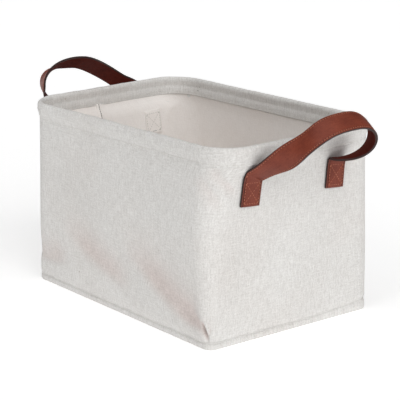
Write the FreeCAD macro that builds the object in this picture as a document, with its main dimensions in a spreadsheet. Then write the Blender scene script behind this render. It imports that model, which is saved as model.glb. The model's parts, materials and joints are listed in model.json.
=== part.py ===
# Fabric storage bin: a soft canvas box on a board base, with a wire rim and two strap handles.
# The origin is the middle of the underside, +Z is up, the long sides run along X and a handle
# sits on each end wall, at +X (right) and -X (left). Front is -Y. Lengths are in millimetres.
import FreeCAD, Part
import math
import os
import Sketcher

Vector = FreeCAD.Vector
Rotation = FreeCAD.Rotation
Placement = FreeCAD.Placement

doc = FreeCAD.newDocument("storage_bin")
sheet = doc.addObject("Spreadsheet::Sheet", "sizes")
pieces = []

# ---------------------------------------------------------------- driving dimensions
# The wall is drawn through five levels, from the base seam up to the foot of the hem. Each level
# has a height, an outer length and width, a corner radius and the turn of the cloth in degrees.
levels = ["seam", "skirt", "waist", "shoulder", "brim"]
level_sizes = {
    "seam": (8.6, 357.6, 252.6, 12.0, 0.0),
    "skirt": (34.0, 361.0, 262.0, 20.0, 0.0),
    "waist": (140.0, 361.0, 265.0, 28.0, 0.2),
    "shoulder": (204.5, 365.2, 261.0, 34.0, 2.0),
    "brim": (217.0, 373.5, 256.0, 39.0, 2.4),
}
dimensions = {
    # base tray, board and lining
    "base_length": 360.0,
    "base_width": 255.0,
    "base_corner": 12.0,
    "base_canvas": 0.9,
    "base_upturn": 8.0,
    "base_edge": 1.5,
    "board_inset": 2.2,
    "board_thickness": 3.0,
    "base_lining_thickness": 0.7,
    "layer_gap": 0.1,
    # the folded seam that joins the wall to the tray
    "piping_radius": 0.9,
    # wall layers, from the outside in
    "canvas_thickness": 0.8,
    "interlining_thickness": 1.4,
    "lining_thickness": 0.6,
    "join_seam_width": 9.0,
    "join_seam_thickness": 0.8,
    "join_seam_side": -18.0,
    # rim: the path is the middle of the wire
    "rim_length": 377.0,
    "rim_width": 253.5,
    "rim_corner": 41.0,
    "rim_twist": 2.66,
    "bin_height": 241.0,
    "bead_radius": 4.6,
    "tunnel_radius": 3.3,
    "wire_radius": 2.0,
    "hem_foot": 217.4,
    "hem_thickness": 3.8,
    "hem_lean": 1.0,
    "ferrule_length": 26.0,
    "ferrule_radius": 3.0,
    "ferrule_side": 30.0,
    "thread_radius": 0.35,
    "hem_stitch_rise": 2.6,
    "hem_stitch_lean": 0.86,
    "thread_clearance": 0.1,
    # handle ends, sewn flat on the end walls
    "strap_width": 29.0,
    "strap_thickness": 3.2,
    "face_thickness": 1.7,
    "tab_height": 32.0,
    "tab_centre": 183.3,
    "right_tab_spacing": 134.0,
    "right_tab_offset": -8.0,
    "left_tab_spacing": 131.0,
    "left_tab_offset": -3.0,
    "tab_clearance": 0.45,
    "box_stitch_inset": 3.6,
    "patch_width": 26.0,
    "patch_height": 34.0,
    "patch_thickness": 0.8,
    "patch_clearance": 0.5,
    # handle loops: where the strap leaves the tabs
    "loop_foot": 202.3,
    "loop_lift": 0.8,
    "foot_turn": 30.0,
    "edge_stitch_inset": 2.4,
}
# Each loop is two curves that meet at the crown. Distances are out from the wall, along it and up,
# measured from the middle of the loop's two feet. A leg rises straight for a short way, then its
# pull leads it outwards; a reach sets how flat the crown is. The strap turns by a quarter turn and
# the crown tilt on its way up, over the front and rear turns.
loop_sizes = {
    "right": {
        "crown_out": 72.0, "crown_side": 10.5, "crown_up": 66.5,
        "front_out": 112.5, "front_side": -19.5, "front_up": 58.5,
        "rear_out": 68.5, "rear_side": 4.5, "rear_up": 8.5,
        "front_reach": 76.5, "rear_reach": 50.0, "crown_skew": 0.02, "crown_climb": 0.05,
        "crown_tilt": 16.5, "front_turn": 77.0, "rear_turn": 122.0, "straight_rise": 9.5,
    },
    "left": {
        "crown_out": 14.5, "crown_side": 41.5, "crown_up": 73.5,
        "front_out": 104.5, "front_side": 15.0, "front_up": 22.0,
        "rear_out": 91.5, "rear_side": 15.5, "rear_up": 17.0,
        "front_reach": 23.5, "rear_reach": 59.0, "crown_skew": 0.19, "crown_climb": 0.08,
        "crown_tilt": -24.0, "front_turn": 70.0, "rear_turn": 74.0, "straight_rise": 16.0,
    },
}
loop_steps = 14


def fill_sheet():
    # one row for each size: its name, its value, and its name again as the alias
    row = 1
    cells = dict(dimensions)
    for level in levels:
        for part_name, value in zip(("height", "length", "width", "corner", "twist"), level_sizes[level]):
            cells[level + "_" + part_name] = value
    for side, sizes in loop_sizes.items():
        for size_name, value in sizes.items():
            cells[side + "_" + size_name] = value
    for name, value in cells.items():
        sheet.set("A%d" % row, name)
        sheet.set("B%d" % row, str(value))
        sheet.setAlias("B%d" % row, name)
        row += 1
    doc.recompute()


def size(name):
    return float(sheet.get(name))


# ---------------------------------------------------------------- drawing helpers
def new_body(label):
    body = doc.addObject("PartDesign::Body", label)
    body.Label = label
    pieces.append(body)
    return body


def origin_plane(body, role):
    return [feature for feature in body.Origin.OriginFeatures if feature.Role == role][0]


def new_sketch(body, name, role="XY_Plane"):
    sketch = body.newObject("Sketcher::SketchObject", body.Name + "_" + name)
    sketch.AttachmentSupport = [(origin_plane(body, role), "")]
    sketch.MapMode = "FlatFace"
    return sketch


def name_size(sketch, constraint, name, expression):
    index = sketch.addConstraint(constraint)
    sketch.renameConstraint(index, name)
    sketch.setExpression("Constraints." + name, expression)


def rounded_rectangle(body, name, length, width, corner, height="0", twist="0"):
    # a rounded rectangle about the Z axis; each size is an expression on the sheet
    sketch = new_sketch(body, name)
    half_x = 100.0
    half_y = 80.0
    arc = 10.0
    corners = [(1, -1, -90), (1, 1, 0), (-1, 1, 90), (-1, -1, 180)]
    starts = [(-half_x + arc, -half_y), (half_x, -half_y + arc), (half_x - arc, half_y), (-half_x, half_y - arc)]
    ends = [(half_x - arc, -half_y), (half_x, half_y - arc), (-half_x + arc, half_y), (-half_x, -half_y + arc)]
    for start, end, (sign_x, sign_y, angle) in zip(starts, ends, corners):
        sketch.addGeometry(Part.LineSegment(Vector(*start, 0), Vector(*end, 0)))
        centre = Vector(sign_x * (half_x - arc), sign_y * (half_y - arc), 0)
        circle = Part.Circle(centre, Vector(0, 0, 1), arc)
        sketch.addGeometry(Part.ArcOfCircle(circle, math.radians(angle), math.radians(angle + 90)))
    for line in (0, 2, 4, 6):
        following = (line + 2) % 8
        sketch.addConstraint(Sketcher.Constraint("Tangent", line, 2, line + 1, 1))
        sketch.addConstraint(Sketcher.Constraint("Tangent", line + 1, 2, following, 1))
    for line in (0, 4):
        sketch.addConstraint(Sketcher.Constraint("Horizontal", line))
    for line in (2, 6):
        sketch.addConstraint(Sketcher.Constraint("Vertical", line))
    for arc_index in (3, 5, 7):
        sketch.addConstraint(Sketcher.Constraint("Equal", 1, arc_index))
    sketch.addConstraint(Sketcher.Constraint("Symmetric", 0, 1, 4, 1, -1, 1))
    name_size(sketch, Sketcher.Constraint("DistanceX", 6, 1, 2, 1, 2 * half_x), "across", length)
    name_size(sketch, Sketcher.Constraint("DistanceY", 0, 1, 4, 1, 2 * half_y), "along", width)
    name_size(sketch, Sketcher.Constraint("Radius", 1, arc), "corner", corner)
    sketch.setExpression("AttachmentOffset.Base.z", height)
    sketch.setExpression("AttachmentOffset.Rotation.Angle", twist)
    return sketch


def plain_rectangle(body, name, wide, deep, middle_x="0", middle_y="0", height="0", twist="0"):
    # a rectangle parallel to X and Y with its middle at a point, then turned about Z
    sketch = new_sketch(body, name)
    corners = [(-1, -1), (1, -1), (1, 1), (-1, 1)]
    for index in range(4):
        start = Vector(*corners[index], 0) * 5
        end = Vector(*corners[(index + 1) % 4], 0) * 5
        sketch.addGeometry(Part.LineSegment(start, end))
    for index in range(4):
        sketch.addConstraint(Sketcher.Constraint("Coincident", index, 2, (index + 1) % 4, 1))
    for line in (0, 2):
        sketch.addConstraint(Sketcher.Constraint("Horizontal", line))
    for line in (1, 3):
        sketch.addConstraint(Sketcher.Constraint("Vertical", line))
    name_size(sketch, Sketcher.Constraint("DistanceX", 0, 1, 0, 2, 10.0), "wide", wide)
    name_size(sketch, Sketcher.Constraint("DistanceY", 1, 1, 1, 2, 10.0), "deep", deep)
    left = "(%s) - (%s) / 2" % (middle_x, wide)
    low = "(%s) - (%s) / 2" % (middle_y, deep)
    name_size(sketch, Sketcher.Constraint("DistanceX", -1, 1, 0, 1, -5.0), "left", left)
    name_size(sketch, Sketcher.Constraint("DistanceY", -1, 1, 0, 1, -5.0), "low", low)
    sketch.setExpression("AttachmentOffset.Base.z", height)
    sketch.setExpression("AttachmentOffset.Rotation.Angle", twist)
    return sketch


def pad(body, sketch, length):
    feature = body.newObject("PartDesign::Pad", body.Name + "_pad")
    feature.Profile = sketch
    feature.setExpression("Length", length)
    return feature


def loft(body, kind, sketches):
    feature = body.newObject("PartDesign::" + kind, body.Name + "_" + kind)
    feature.Profile = sketches[0]
    feature.Sections = sketches[1:]
    feature.Ruled = True
    return feature


def pipe(body, kind, profile, path):
    feature = body.newObject("PartDesign::" + kind, body.Name + "_" + kind)
    feature.Profile = profile
    feature.Spine = (path, [])
    return feature


def circle_on_end(body, name, middle_x, middle_z, radius):
    # a circle on the XZ plane, where the path of the rim or seam crosses it
    sketch = new_sketch(body, name, "XZ_Plane")
    sketch.addGeometry(Part.Circle(Vector(150, 100, 0), Vector(0, 0, 1), 2.0))
    name_size(sketch, Sketcher.Constraint("DistanceX", -1, 1, 0, 3, 150.0), "out", middle_x)
    name_size(sketch, Sketcher.Constraint("DistanceY", -1, 1, 0, 3, 100.0), "up", middle_z)
    name_size(sketch, Sketcher.Constraint("Radius", 0, 2.0), "radius", radius)
    return sketch


# ---------------------------------------------------------------- base
def make_base():
    canvas = new_body("base_canvas")
    outline = rounded_rectangle(canvas, "outline", "sizes.base_length", "sizes.base_width", "sizes.base_corner")
    pad(canvas, outline, "sizes.base_upturn")
    inside = rounded_rectangle(
        canvas, "inside", "sizes.base_length - 2 * sizes.base_canvas",
        "sizes.base_width - 2 * sizes.base_canvas", "sizes.base_corner - sizes.base_canvas", "sizes.base_canvas")
    hollow = canvas.newObject("PartDesign::Pocket", "base_canvas_hollow")
    hollow.Profile = inside
    hollow.Reversed = True
    hollow.setExpression("Length", "sizes.base_upturn - sizes.base_canvas")
    doc.recompute()
    foot = ["Edge%d" % (index + 1) for index, edge in enumerate(hollow.Shape.Edges) if edge.BoundBox.ZMax < 1e-3]
    rounding = canvas.newObject("PartDesign::Fillet", "base_canvas_rounding")
    rounding.Base = (hollow, foot)
    rounding.setExpression("Radius", "sizes.base_edge")

    board = new_body("base_board")
    board_size = "sizes.%s - 2 * sizes.board_inset"
    outline = rounded_rectangle(
        board, "outline", board_size % "base_length", board_size % "base_width",
        "sizes.base_corner - sizes.board_inset", "sizes.base_canvas + sizes.layer_gap")
    pad(board, outline, "sizes.board_thickness")

    lining = new_body("base_lining")
    outline = rounded_rectangle(
        lining, "outline", board_size % "base_length", board_size % "base_width",
        "sizes.base_corner - sizes.board_inset",
        "sizes.base_canvas + sizes.board_thickness + 2 * sizes.layer_gap")
    pad(lining, outline, "sizes.base_lining_thickness")

    piping = new_body("base_seam_piping")
    path = rounded_rectangle(
        piping, "path", "sizes.base_length", "sizes.base_width", "sizes.base_corner",
        "sizes.base_upturn + sizes.piping_radius + sizes.layer_gap")
    profile = circle_on_end(
        piping, "profile", "sizes.base_length / 2",
        "sizes.base_upturn + sizes.piping_radius + sizes.layer_gap", "sizes.piping_radius")
    pipe(piping, "AdditivePipe", profile, path)


# ---------------------------------------------------------------- wall layers
def wall_sections(body, name, inset):
    sketches = []
    for level in levels:
        sketches.append(rounded_rectangle(
            body, name + "_" + level, "sizes.%s_length - 2 * (%s)" % (level, inset),
            "sizes.%s_width - 2 * (%s)" % (level, inset), "sizes.%s_corner - (%s)" % (level, inset),
            "sizes.%s_height" % level, "sizes.%s_twist" % level))
    return sketches


def make_wall_layer(label, inset, thickness):
    body = new_body(label)
    loft(body, "AdditiveLoft", wall_sections(body, "outside", inset))
    loft(body, "SubtractiveLoft", wall_sections(body, "inside", inset + " + " + thickness))


def make_walls():
    canvas = "sizes.canvas_thickness"
    interlining = "sizes.interlining_thickness"
    lining = "sizes.lining_thickness"
    gap = "sizes.layer_gap"
    make_wall_layer("outer_wall_canvas", "0", canvas)
    make_wall_layer("wall_interlining", canvas + " + " + gap, interlining)
    make_wall_layer("wall_lining", canvas + " + " + interlining + " + 2 * " + gap, lining)
    # the strip that covers the join of the lining, inside the left end wall
    tape = new_body("wall_join_tape")
    depth = " + ".join([canvas, interlining, lining, "3 * " + gap])
    strips = []
    for level in levels:
        middle = "-(sizes.%s_length / 2 - (%s) - sizes.join_seam_thickness / 2)" % (level, depth)
        strips.append(plain_rectangle(
            tape, level, "sizes.join_seam_thickness", "sizes.join_seam_width", middle, "sizes.join_seam_side",
            "sizes.%s_height" % level, "sizes.%s_twist" % level))
    loft(tape, "AdditiveLoft", strips)


# ---------------------------------------------------------------- rim
def rim_path(body, name="path", grow="0", height="sizes.bin_height - sizes.bead_radius"):
    return rounded_rectangle(
        body, name, "sizes.rim_length + 2 * (%s)" % grow, "sizes.rim_width + 2 * (%s)" % grow,
        "sizes.rim_corner + (%s)" % grow, height)


def hem_profile(body):
    # a keyhole: the bead around the wire and the two plies of the hem hanging from it
    sketch = new_sketch(body, "profile", "XZ_Plane")
    middle = Vector(188, 236, 0)
    half = 1.9
    foot = 217.0
    bead = 4.6
    neck = math.asin(half / bead)
    circle = Part.Circle(middle, Vector(0, 0, 1), bead)
    start = -math.pi / 2 + neck
    sketch.addGeometry(Part.ArcOfCircle(circle, start, start + 2 * math.pi - 2 * neck))
    drop = bead * math.cos(neck)
    left_top = Vector(middle.x - half, middle.y - drop, 0)
    right_top = Vector(middle.x + half, middle.y - drop, 0)
    left_foot = Vector(middle.x - half - 1, foot, 0)
    right_foot = Vector(middle.x + half - 1, foot, 0)
    sketch.addGeometry(Part.LineSegment(left_top, left_foot))
    sketch.addGeometry(Part.LineSegment(left_foot, right_foot))
    sketch.addGeometry(Part.LineSegment(right_foot, right_top))
    sketch.addConstraint(Sketcher.Constraint("Coincident", 0, 2, 1, 1))
    sketch.addConstraint(Sketcher.Constraint("Coincident", 1, 2, 2, 1))
    sketch.addConstraint(Sketcher.Constraint("Coincident", 2, 2, 3, 1))
    sketch.addConstraint(Sketcher.Constraint("Coincident", 3, 2, 0, 1))
    sketch.addConstraint(Sketcher.Constraint("Horizontal", 2))
    sketch.addConstraint(Sketcher.Constraint("Horizontal", 0, 2, 0, 1))
    name_size(sketch, Sketcher.Constraint("DistanceX", -1, 1, 0, 3, middle.x), "out", "sizes.rim_length / 2")
    name_size(sketch, Sketcher.Constraint("DistanceY", -1, 1, 0, 3, middle.y), "up",
              "sizes.bin_height - sizes.bead_radius")
    name_size(sketch, Sketcher.Constraint("Radius", 0, bead), "bead", "sizes.bead_radius")
    name_size(sketch, Sketcher.Constraint("DistanceX", 0, 2, 0, 1, 2 * half), "neck", "sizes.hem_thickness")
    name_size(sketch, Sketcher.Constraint("DistanceX", 2, 1, 2, 2, 2 * half), "ply", "sizes.hem_thickness")
    name_size(sketch, Sketcher.Constraint("DistanceY", -1, 1, 2, 1, foot), "foot", "sizes.hem_foot")
    name_size(sketch, Sketcher.Constraint("DistanceX", 2, 1, 0, 2, 1.0), "lean", "sizes.hem_lean")
    return sketch


def make_rim():
    wire_height = "sizes.bin_height - sizes.bead_radius"
    turn = Rotation(Vector(0, 0, 1), size("rim_twist"))
    hem = new_body("rim_hem")
    path = rim_path(hem)
    pipe(hem, "AdditivePipe", hem_profile(hem), path)
    tunnel = circle_on_end(hem, "tunnel", "sizes.rim_length / 2", wire_height, "sizes.tunnel_radius")
    pipe(hem, "SubtractivePipe", tunnel, path)

    wire = new_body("rim_wire")
    profile = circle_on_end(wire, "profile", "sizes.rim_length / 2", wire_height, "sizes.wire_radius")
    pipe(wire, "AdditivePipe", profile, rim_path(wire))

    # thread lines of the hem, just proud of its two plies
    stitch_height = "sizes.hem_foot + sizes.hem_stitch_rise"
    lean = "sizes.hem_stitch_lean"
    proud = "sizes.hem_thickness / 2 + sizes.thread_radius + sizes.thread_clearance"
    for side, sign in (("outer", "+"), ("inner", "-")):
        thread = new_body("hem_stitching_" + side)
        grow = "0 - %s %s (%s)" % (lean, sign, proud)
        route = rim_path(thread, "path", grow, stitch_height)
        profile = circle_on_end(
            thread, "profile", "sizes.rim_length / 2 + (%s)" % grow, stitch_height, "sizes.thread_radius")
        pipe(thread, "AdditivePipe", profile, route)
        thread.Placement = Placement(Vector(), turn)

    for body in (hem, wire):
        body.Placement = Placement(Vector(), turn)

    # crimped sleeve over the two ends of the wire, in the back run of the rim
    sleeve = doc.addObject("Part::Cylinder", "ferrule_sleeve")
    sleeve.setExpression("Radius", "sizes.ferrule_radius")
    sleeve.setExpression("Height", "sizes.ferrule_length")
    hole = doc.addObject("Part::Cylinder", "ferrule_hole")
    hole.setExpression("Radius", "sizes.wire_radius")
    hole.setExpression("Height", "sizes.ferrule_length")
    ferrule = doc.addObject("Part::Cut", "wire_ferrule")
    ferrule.Base = sleeve
    ferrule.Tool = hole
    ferrule.Label = "wire_ferrule"
    start = Vector(size("ferrule_side"), size("rim_width") / 2, size("bin_height") - size("bead_radius"))
    lie_down = Placement(start, Rotation(Vector(0, 1, 0), 90))
    ferrule.Placement = Placement(Vector(), turn).multiply(lie_down)
    pieces.append(ferrule)


# ---------------------------------------------------------------- handle ends
def end_wall_frame(along, height):
    # the point on the right end wall's outer face, with the directions along the wall, up and out
    low, high = "waist", "shoulder"
    span = size(high + "_height") - size(low + "_height")
    part_way = (height - size(low + "_height")) / span
    rise_out = (size(high + "_length") - size(low + "_length")) / 2 / span
    out_by = size(low + "_length") / 2 + rise_out * (height - size(low + "_height"))
    twist_rate = math.radians(size(high + "_twist") - size(low + "_twist")) / span
    twist = math.radians(size(low + "_twist")) + twist_rate * part_way * span
    flat = Rotation(Vector(0, 0, 1), math.degrees(twist))
    point = flat.multVec(Vector(out_by, along, 0)) + Vector(0, 0, height)
    sway = flat.multVec(Vector(-along * twist_rate, out_by * twist_rate, 0))
    up = flat.multVec(Vector(rise_out, 0, 0)) + sway + Vector(0, 0, 1)
    up.normalize()
    side = flat.multVec(Vector(0, 1, 0))
    out = side.cross(up)
    out.normalize()
    return point, up.cross(out), up, out


def tab_frames(end):
    # front and rear tab of one end wall, before the left end's half turn
    middle = size(end + "_tab_offset")
    half = size(end + "_tab_spacing") / 2
    return {
        "front": end_wall_frame(middle - half, size("tab_centre")),
        "rear": end_wall_frame(middle + half, size("tab_centre")),
    }


def frame_placement(point, side, up, out):
    # local X runs along the wall, local Y up and local Z out of the wall
    matrix = FreeCAD.Matrix(
        side.x, up.x, out.x, point.x, side.y, up.y, out.y, point.y, side.z, up.z, out.z, point.z, 0, 0, 0, 1)
    return Placement(matrix)


def ends():
    # the left end repeats the right one, half a turn about Z
    return (("right", Placement()), ("left", Placement(Vector(), Rotation(Vector(0, 0, 1), 180))))


def make_handle_ends():
    wall = size("canvas_thickness") + size("interlining_thickness") + size("lining_thickness")
    wall += 2 * size("layer_gap")
    for end, half_turn in ends():
        for place, (point, side, up, out) in tab_frames(end).items():
            name = end + "_" + place
            outside = frame_placement(point + out * size("tab_clearance"), side, up, out)
            tab = new_body("strap_end_" + name)
            outline = plain_rectangle(tab, "outline", "sizes.strap_width", "sizes.tab_height")
            pad(tab, outline, "sizes.strap_thickness")
            tab.Placement = half_turn.multiply(outside)

            patch = new_body("inner_patch_" + name)
            outline = plain_rectangle(patch, "outline", "sizes.patch_width", "sizes.patch_height")
            pad(patch, outline, "sizes.patch_thickness")
            depth = wall + size("patch_clearance") + size("patch_thickness")
            patch.Placement = half_turn.multiply(frame_placement(point - out * depth, side, up, out))

            thread_height = size("strap_thickness") + size("thread_clearance") + size("thread_radius")
            face = point + out * (size("tab_clearance") + thread_height)
            make_box_stitch(name, half_turn.multiply(frame_placement(face, side, up, out)))


def make_box_stitch(name, placement):
    # a box with a cross in it, of round thread lying on the strap
    half_x = size("strap_width") / 2 - size("box_stitch_inset")
    half_y = size("tab_height") / 2 - size("box_stitch_inset")
    corners = [Vector(-half_x, -half_y, 0), Vector(half_x, -half_y, 0), Vector(half_x, half_y, 0),
               Vector(-half_x, half_y, 0)]
    threads = []
    for first, last in ((0, 1), (1, 2), (2, 3), (3, 0), (0, 2), (1, 3)):
        run = corners[last] - corners[first]
        thread = doc.addObject("Part::Cylinder", "thread_%s_%d%d" % (name, first, last))
        thread.setExpression("Radius", "sizes.thread_radius")
        thread.Height = run.Length
        thread.Placement = Placement(corners[first], Rotation(Vector(0, 0, 1), run))
        threads.append(thread)
    fused = doc.addObject("Part::MultiFuse", "box_stitching_" + name)
    fused.Shapes = threads
    fused.Label = "box_stitching_" + name
    fused.Placement = placement
    pieces.append(fused)


# ---------------------------------------------------------------- handle loops
def smooth(value):
    value = min(max(value, 0.0), 1.0)
    return value * value * (3 - 2 * value)


def loop_frames(end):
    # points along the strap's middle line with the strap's width direction and its face direction
    sizes = {name: size(end + "_" + name) for name in loop_sizes[end]}
    lift = size("strap_thickness") / 2 + size("tab_clearance") + size("loop_lift")
    feet = []
    for point, side, up, out in tab_frames(end).values():
        foot = point + up * ((size("loop_foot") - point.z) / up.z) + out * lift
        feet.append((foot, up, out))
    (front, front_up, front_face), (rear, rear_up, rear_face) = feet
    crown = (front + rear) * 0.5 + Vector(sizes["crown_out"], sizes["crown_side"], sizes["crown_up"])
    level = Vector(sizes["crown_skew"], 1, sizes["crown_climb"])
    level.normalize()
    front_pull = Vector(sizes["front_out"], -sizes["front_side"], sizes["front_up"])
    rear_pull = Vector(sizes["rear_out"], sizes["rear_side"], sizes["rear_up"])
    rise = sizes["straight_rise"]
    first = Part.BezierCurve()
    first.setPoles([front, front + front_up * rise, front + front_pull, crown - level * sizes["front_reach"], crown])
    second = Part.BezierCurve()
    second.setPoles([crown, crown + level * sizes["rear_reach"], rear + rear_pull, rear + rear_up * rise, rear])
    leaning = (crown - front).cross(rear - front)
    leaning.normalize()
    if leaning.x < 0:
        leaning = leaning * -1
    whole = first.length() + second.length()
    quarter = math.pi / 2 + math.radians(sizes["crown_tilt"])
    frames = []
    for index in range(2 * loop_steps + 1):
        curve, step = (first, index) if index <= loop_steps else (second, index - loop_steps)
        part_run = curve.length() * step / loop_steps
        parameter = curve.parameterAtDistance(part_run, 0.0) if step else 0.0
        run = part_run if curve is first else part_run + first.length()
        near_front = 2 * run < whole
        from_foot = run if near_front else whole - run
        turned = smooth(from_foot / sizes["front_turn" if near_front else "rear_turn"])
        freed = smooth(from_foot / size("foot_turn"))
        along = curve.tangent(parameter)[0]
        facing = (front_face if near_front else rear_face) * (1 - freed) + leaning * freed
        across = along.cross(facing)
        across.normalize()
        facing = across.cross(along)
        width = across * math.cos(quarter * turned) + facing * math.sin(quarter * turned)
        frames.append((curve.value(parameter), width, width.cross(along)))
    return frames


def ribbon(frames, centre, width, low, high):
    # a strip along the strap: its middle sits off the strap's middle by centre, across its width
    wires = []
    for point, across, face in frames:
        corners = []
        for reach, rise in ((-width / 2, low), (width / 2, low), (width / 2, high), (-width / 2, high)):
            corners.append(point + across * (centre + reach) + face * rise)
        wires.append(Part.makePolygon(corners + corners[:1]))
    return Part.makeLoft(wires, True, True)


def make_loop_piece(label, shape, placement):
    piece = doc.addObject("Part::Feature", label)
    piece.Label = label
    piece.Shape = shape
    piece.Placement = placement
    pieces.append(piece)


def make_loops():
    half = size("strap_thickness") / 2
    parting = half - size("face_thickness")
    gap = size("layer_gap")
    thread = size("thread_radius") * 2
    lift = half + size("thread_clearance")
    for end, half_turn in ends():
        frames = loop_frames(end)
        width = size("strap_width")
        make_loop_piece("strap_face_" + end, ribbon(frames, 0, width, parting + gap / 2, half), half_turn)
        make_loop_piece("strap_backing_" + end, ribbon(frames, 0, width, -half, parting - gap / 2), half_turn)
        off = width / 2 - size("edge_stitch_inset")
        for row, centre in (("inner", -off), ("outer", off)):
            strip = ribbon(frames, centre, thread, lift, lift + thread)
            make_loop_piece("edge_stitching_%s_%s" % (end, row), strip, half_turn)


# ---------------------------------------------------------------- build, check and write
def check_and_write():
    doc.recompute()
    for item in doc.Objects:
        for word in ("Invalid", "Error"):
            if word in item.State:
                raise RuntimeError("%s is %s" % (item.Label, item.State))
    for piece in pieces:
        shape = piece.Shape
        if shape.isNull() or not shape.isValid() or not shape.Solids:
            raise RuntimeError("%s has no valid solid" % piece.Label)
    os.makedirs("parts", exist_ok=True)
    for piece in pieces:
        piece.Shape.exportStep("parts/%s.step" % piece.Label)
        box = piece.Shape.BoundBox
        print("%-28s %9.1f mm3  z %6.1f to %6.1f" % (piece.Label, piece.Shape.Volume, box.ZMin, box.ZMax))


fill_sheet()
make_base()
make_walls()
make_rim()
make_handle_ends()
make_loops()
check_and_write()
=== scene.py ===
import json
import math

import bmesh
import bpy
from mathutils import Matrix, Vector, noise

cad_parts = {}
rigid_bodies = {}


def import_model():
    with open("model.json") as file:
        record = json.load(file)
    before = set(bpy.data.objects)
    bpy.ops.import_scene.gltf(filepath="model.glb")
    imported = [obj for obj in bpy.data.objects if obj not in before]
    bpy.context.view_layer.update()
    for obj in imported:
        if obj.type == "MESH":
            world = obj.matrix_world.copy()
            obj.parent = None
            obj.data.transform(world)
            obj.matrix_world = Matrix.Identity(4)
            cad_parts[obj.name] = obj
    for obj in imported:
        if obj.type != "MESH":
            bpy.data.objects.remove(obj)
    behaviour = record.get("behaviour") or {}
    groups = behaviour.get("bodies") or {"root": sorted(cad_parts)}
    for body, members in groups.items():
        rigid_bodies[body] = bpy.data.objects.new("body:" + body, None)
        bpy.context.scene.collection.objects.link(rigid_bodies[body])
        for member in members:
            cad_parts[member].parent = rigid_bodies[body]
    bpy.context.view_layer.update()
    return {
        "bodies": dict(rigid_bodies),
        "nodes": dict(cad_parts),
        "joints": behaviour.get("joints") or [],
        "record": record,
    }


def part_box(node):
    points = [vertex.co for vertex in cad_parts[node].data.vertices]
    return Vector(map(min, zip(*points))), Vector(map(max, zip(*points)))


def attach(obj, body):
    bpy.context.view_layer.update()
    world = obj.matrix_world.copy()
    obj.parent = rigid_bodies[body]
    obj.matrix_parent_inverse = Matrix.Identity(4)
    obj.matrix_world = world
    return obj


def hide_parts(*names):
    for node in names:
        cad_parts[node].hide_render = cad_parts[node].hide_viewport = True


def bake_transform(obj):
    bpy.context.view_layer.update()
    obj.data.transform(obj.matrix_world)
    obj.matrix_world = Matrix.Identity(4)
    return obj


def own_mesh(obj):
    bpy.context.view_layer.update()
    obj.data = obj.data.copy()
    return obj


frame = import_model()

# Fabric storage bin. Metres, Z up, long sides along X, front towards -Y, a handle on each end.
scene = bpy.context.scene
trayLow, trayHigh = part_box("base_canvas")
liningLow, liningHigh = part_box("base_lining")
wireLow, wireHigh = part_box("rim_wire")
wireHeight = (wireLow.z + wireHigh.z) / 2
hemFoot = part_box("rim_hem")[0].z


def smooth(value):
    value = min(max(value, 0.0), 1.0)
    return value * value * (3 - 2 * value)


def ramp(value, start, end):
    return smooth((value - start) / (end - start))


def blendValues(first, second, share):
    return [a + (b - a) * share for a, b in zip(first, second)]


def bell(value, width):
    return math.exp(-(value / width) ** 2)


def wobble(x, y, z):
    return noise.noise(Vector((x, y, z)))


def runsAlong(points):
    # how far along a line each of its points is
    runs = [0.0]
    for first, last in zip(points, points[1:]):
        runs.append(runs[-1] + math.dist(first, last))
    return runs


def pushedOut(point, normal, out, height):
    return Vector((point.x + normal.x * out, point.y + normal.y * out, height))


# Camera, floor and soft light.
cameraSettings = {
    "azimuth": 51.569, "elevation": 15.291, "distance": 2.1622,
    "shiftRight": 0.00163, "shiftUp": 0.11848, "lens": 151.36,
}
studio = {
    "floorSize": 30.0, "floorColour": (0.93, 0.93, 0.93), "floorGlow": 0.36, "sky": 0.10,
    # each soft light: strength, angle in degrees, where it comes from
    "topSoftbox": (0.94, 75.0, (-0.1, -0.15, 1.0)),
    "sideSoftbox": (1.50, 60.0, (1.0, -0.12, 0.55)),
    "frontSoftbox": (0.48, 30.0, (0.15, -0.80, 0.60)),
}


def makeCamera():
    turn = math.radians(cameraSettings["azimuth"])
    lift = math.radians(cameraSettings["elevation"])
    back = Vector((math.sin(turn) * math.cos(lift), -math.cos(turn) * math.cos(lift), math.sin(lift)))
    right = Vector((math.cos(turn), math.sin(turn), 0))
    up = back.cross(right)
    lens = bpy.data.cameras.new("binCamera")
    lens.lens = cameraSettings["lens"]
    lens.sensor_width = 36.0
    lens.clip_start = 0.05
    lens.clip_end = 60.0
    camera = bpy.data.objects.new("binCamera", lens)
    camera.location = (back * cameraSettings["distance"] + right * cameraSettings["shiftRight"]
                       + up * cameraSettings["shiftUp"])
    camera.rotation_euler = (-back).to_track_quat("-Z", "Y").to_euler()
    scene.collection.objects.link(camera)
    scene.camera = camera


def addSun(name, strength, angle, comesFrom):
    light = bpy.data.lights.new(name, "SUN")
    light.energy = strength
    light.angle = math.radians(angle)
    sun = bpy.data.objects.new(name, light)
    sun.rotation_euler = Vector(comesFrom).to_track_quat("Z", "Y").to_euler()
    scene.collection.objects.link(sun)


def setValues(node, **values):
    for name, value in values.items():
        node.inputs[name.replace("_", " ")].default_value = value


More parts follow.
